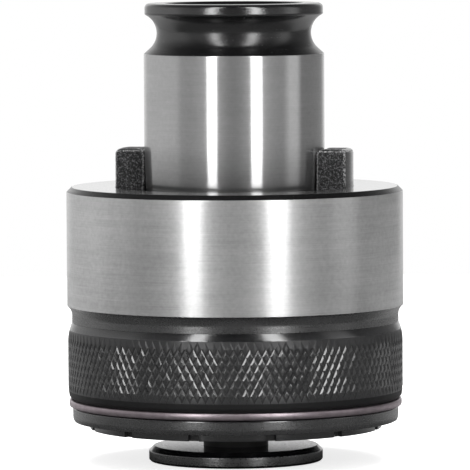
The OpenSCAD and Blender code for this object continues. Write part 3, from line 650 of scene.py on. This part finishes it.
def sweep(bm, path, radius, sides, squareness=1.0):
    """A wire along the path, in millimetres, with rounded ends. squareness below 1 gives it flatter sides."""
    upwards = Vector((0, 0, 1))
    end_round = 0.12
    rings = []
    last = len(path) - 1
    for i, p in enumerate(path):
        along = (path[min(i + 1, last)] - path[max(i - 1, 0)]).normalized()
        side = along.cross(upwards).normalized()
        up = side.cross(along)
        ring = []
        for k in range(sides):
            a = 2 * math.pi * k / sides
            x, y = (math.copysign(abs(v) ** squareness, v) for v in (math.cos(a), math.sin(a)))
            ring.append(bm.verts.new((p + (side * x + up * y) * radius) * MM))
        rings.append(ring)
    for lower, upper in zip(rings, rings[1:]):
        for k in range(sides):
            n = (k + 1) % sides
            bm.faces.new((lower[k], lower[n], upper[n], upper[k]))
    for ring in (rings[0][::-1], rings[-1]):
        cap = bm.faces.new(ring)
        bmesh.ops.bevel(bm, geom=list(cap.edges), offset=end_round * MM, segments=2, affect="EDGES")


def make_lock_ring():
    bend, tail_steps, bend_steps, ring_steps = 0.9, 6, 8, 300
    start = math.radians(TAIL_ANGLE)
    out = Vector((math.cos(start), math.sin(start), 0))
    along = Vector((-math.sin(start), math.cos(start), 0))
    path = []
    for i in range(tail_steps + 1):
        path.append(out * (TAIL_R + (RING_R - bend - TAIL_R) * i / tail_steps))
    for i in range(1, bend_steps):
        a = math.pi / 2 * i / bend_steps
        path.append(out * (RING_R - bend + bend * math.sin(a)) + along * bend * (1 - math.cos(a)))
    first = bend / RING_R
    whole = math.radians(360 - RING_OPEN)
    for i in range(ring_steps + 1):
        a = start + first + (whole - first) * i / ring_steps
        path.append(Vector((RING_R * math.cos(a), RING_R * math.sin(a), 0)))
    path = [p + Vector((0, 0, RING_Z)) for p in path]
    bm = bmesh.new()
    sweep(bm, path, RING_WIRE_R, sides=24, squareness=0.55)
    obj = finish_mesh(bm, "lock_ring_wire", [WIRE], sharp=50)
    settle(obj, "adjusting_nut", "spring_steel", "lock_ring")


def make_release_collar():
    plain, dull, brushed = range(3)
    flange_r, flange_top_z, foot_chamfer, top_chamfer = 14.5, 2.6, 0.3, 0.83
    tube_r, waist_r, waist_z, waist_top_z, tube_top_z = 5.4, 4.9, 7.9, 12.08, 22
    bore_r, bore_chamfer, ball_hole_r, ball_hole_z, inside_bore, outside_tube = 3.2, 0.5, 1.55, 16, 1.6, 7
    bm = bmesh.new()
    spin(bm, [
        (bore_r + bore_chamfer, 0, plain, 0.08), (flange_r - foot_chamfer, 0, plain, 0.1),
        (flange_r, foot_chamfer, brushed, 0.1), (flange_r, flange_top_z - top_chamfer, plain, 0.12),
        (flange_r - top_chamfer, flange_top_z, plain, 0.12), (tube_r, flange_top_z, dull),
        (tube_r, waist_z, dull), (waist_r, waist_z, dull), (waist_r, waist_top_z, dull),
        (tube_r, waist_top_z, dull), (tube_r, tube_top_z, dull, 0.15), (bore_r, tube_top_z, dull, 0.1),
        (bore_r, bore_chamfer, dull, 0.08),
    ], 192)
    ball_holes = [rod(ball_hole_r, inside_bore, outside_tube, ball_hole_z, angle) for angle in (0, 120, 240)]
    obj = finish_mesh(bm, "release_collar_black", [OXIDE, DULL_OXIDE, BRUSHED_OXIDE], ball_holes)
    settle(obj, "release_collar", "black_steel", "release_collar")


def make_release_spring():
    turns, per_turn, wire, coil = 5, 48, 0.5, 4.4
    foot, travel, end_pitch = 22.08 + wire, 8.84, 1.08
    mid_pitch = (travel - 2 * end_pitch) / (turns - 2)
    path = []
    for s in range(turns * per_turn + 1):
        t = s / per_turn
        low, high = min(t, 1), max(t - turns + 1, 0)
        z = foot + (low + high) * end_pitch + (t - low - high) * mid_pitch
        a = 2 * math.pi * t
        path.append(Vector((coil * math.cos(a), coil * math.sin(a), z)))
    bm = bmesh.new()
    sweep(bm, path, wire, sides=14)
    obj = finish_mesh(bm, "release_spring_wire", [SPRING], sharp=50)
    obj.modifiers.clear()
    settle(obj, "tap_spindle", "spring_steel", "release_spring")
    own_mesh(obj)


def make_disc_springs():
    inner, outer, thick, cone, base, pitch = 10.2, 20.0, 1.5, 0.75, 11.36, 2.33
    for k in range(4):
        inner_z, outer_z = (cone, 0) if k % 2 == 0 else (0, cone)
        z = base + k * pitch
        bm = bmesh.new()
        spin(bm, [
            (inner, z + inner_z, 0, 0.15), (outer, z + outer_z, 0, 0.15),
            (outer, z + outer_z + thick, 0, 0.15), (inner, z + inner_z + thick, 0, 0.15),
        ], 128)
        obj = finish_mesh(bm, f"disc_spring_steel_{k + 1}", [SPRING])
        obj.modifiers.clear()
        settle(obj, "thrust_washer", "spring_steel", f"disc_spring_{k + 1}")
        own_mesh(obj)


INNER = {
    BEARING: (
        "thrust_washer", "pressure_ring", "clutch_balls", "tap_spindle", "thrust_balls", "thrust_race",
        "spindle_washer", "lock_ball_1", "lock_ball_2", "lock_ball_3",
    ),
    BRONZE: ("thrust_cage", "guide_bush"),
    SPRING: ("spindle_circlip", "collar_stop_ring"),
}


def finish_inner_nodes():
    for finish, names in INNER.items():
        for name in names:
            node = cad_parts[name]
            node.data.materials.clear()
            node.data.materials.append(finish)


def direction(azimuth):
    """Level unit vector towards an azimuth measured from the camera's side."""
    a = math.radians(CAMERA_AZIMUTH + azimuth)
    return Vector((math.sin(a), -math.cos(a), 0))


def area_lamp(name, width, height, strength):
    """A soft light that shines down, and that the camera doesn't see. Its sizes are in metres."""
    lamp = bpy.data.lights.new(name, "AREA")
    lamp.shape = "RECTANGLE"
    lamp.size = width
    lamp.size_y = height
    lamp.energy = strength * width * height * math.pi
    obj = bpy.data.objects.new(name, lamp)
    bpy.context.scene.collection.objects.link(obj)
    obj.visible_camera = False
    return obj


def strip_light(name, azimuth, width):
    """A tall light that faces the axis."""
    distance, low, high, strength = 0.48, -0.25, 0.9, 4.8
    obj = area_lamp(name, width, high - low, strength)
    place = direction(azimuth) * distance
    obj.location = (place.x, place.y, (low + high) / 2)
    obj.rotation_euler = (-place).to_track_quat("-Z", "Y").to_euler()


def make_floor():
    radius, gap = 0.42, 0.00005
    mesh = bpy.data.meshes.new("floor")
    bm = bmesh.new()
    bmesh.ops.create_circle(bm, cap_ends=True, segments=128, radius=radius)
    bm.to_mesh(mesh)
    bm.free()
    floor = bpy.data.objects.new("floor", mesh)
    floor.location.z = -gap
    bpy.context.scene.collection.objects.link(floor)
    g = Graph("pale floor")
    path = g.add("ShaderNodeLightPath")
    paper = g.ramp(g.noise(g.place(), scale=40.0, detail=2.0), low=0.92, high=0.95)
    away = g.add("ShaderNodeVectorMath", {"operation": "DOT_PRODUCT"}, i0=g.place(), i1=-direction(0))
    shade = g.ramp(away.outputs["Value"], low=0.85, high=0.47, start=0.0, end=0.05)
    dim = g.math("SUBTRACT", 1.0, g.math("MULTIPLY", path.outputs["Is Glossy Ray"], shade))
    g.surface(
        Base_Color=g.grey(g.math("MULTIPLY", paper, dim)),
        Roughness=0.9,
        Specular_IOR_Level=0.0,
        Emission_Color=(1, 1, 1, 1),
        Emission_Strength=g.math("MULTIPLY", path.outputs["Is Camera Ray"], 0.75),
    )
    floor.data.materials.append(g.material)


# Brightness of the studio's walls by azimuth from the camera
STUDIO_GLOW = (
    (-180, 1.0), (-164, 0.95), (-148, 0.6), (-120, 0.6), (-80, 0.6), (-70, 0.36), (-5, 0.11), (5, 0.11),
    (66, 0.28), (76, 0.74), (88, 0.74), (96, 0.16), (130, 0.22), (148, 0.32), (164, 0.95), (180, 1.0),
)


def make_world():
    world = bpy.data.worlds.new("studio")
    world.use_nodes = True
    bpy.context.scene.world = world
    n = Nodes(world.node_tree)
    turned = n.add(
        "ShaderNodeVectorRotate",
        {"rotation_type": "Z_AXIS"},
        Vector=n.add("ShaderNodeTexCoord").outputs["Generated"],
        Angle=-math.radians(CAMERA_AZIMUTH),
    )
    x, y, z = n.add("ShaderNodeSeparateXYZ", Vector=turned.outputs[0]).outputs
    around = n.math("ARCTAN2", x, n.math("MULTIPLY", y, -1.0))
    share = n.ramp(around, low=0.0, high=1.0, start=-math.pi, end=math.pi)
    glow = n.add("ShaderNodeValToRGB", i0=share)
    steps = glow.color_ramp.elements
    while len(steps) < len(STUDIO_GLOW):
        steps.new(1.0)
    for step, (azimuth, level) in zip(steps, STUDIO_GLOW):
        step.position = azimuth / 360 + 0.5
        step.color = (level, level, level, 1)
    darker_above = n.ramp(z, low=1.0, high=0.15, start=0.26, end=0.77)
    walls = n.math("MULTIPLY", glow.outputs[0], darker_above)
    seen = n.add("ShaderNodeLightPath").outputs["Is Camera Ray"]
    strength = n.add("ShaderNodeMix", i0=seen, i2=walls, i3=1.0).outputs[0]
    back = n.add("ShaderNodeBackground", Color=(1, 1, 1, 1), Strength=strength)
    n.add("ShaderNodeOutputWorld", Surface=back.outputs[0])


def make_lights():
    strip_light("left_strip", azimuth=-28.0, width=0.1)
    strip_light("right_strip", azimuth=28.2, width=0.114)
    top = area_lamp("top_softbox", width=0.9, height=0.9, strength=4.0)
    top.location = (0, 0.1, 1.0)
    top.visible_glossy = False


def make_camera():
    distance, height, aim_height, lean = 0.89, 0.0965, 0.0376, -0.3
    camera = bpy.data.cameras.new("camera")
    camera.sensor_width = 36
    camera.lens = 410.2
    camera.shift_x = 0.0003
    camera.clip_end = 20
    obj = bpy.data.objects.new("camera", camera)
    place = direction(0) * distance
    obj.location = (place.x, place.y, height)
    aim = Vector((0, 0, aim_height)) - obj.location
    roll = Quaternion((0, 0, 1), math.radians(lean))
    obj.rotation_euler = (aim.to_track_quat("-Z", "Y") @ roll).to_euler()
    bpy.context.scene.collection.objects.link(obj)
    bpy.context.scene.camera = obj


make_drive_body()
make_lug_ring()
make_adjusting_nut()
make_lock_ring()
make_release_collar()
make_release_spring()
make_disc_springs()
finish_inner_nodes()
make_floor()
make_world()
make_lights()
make_camera()
bpy.context.scene.view_settings.view_transform = "Standard"
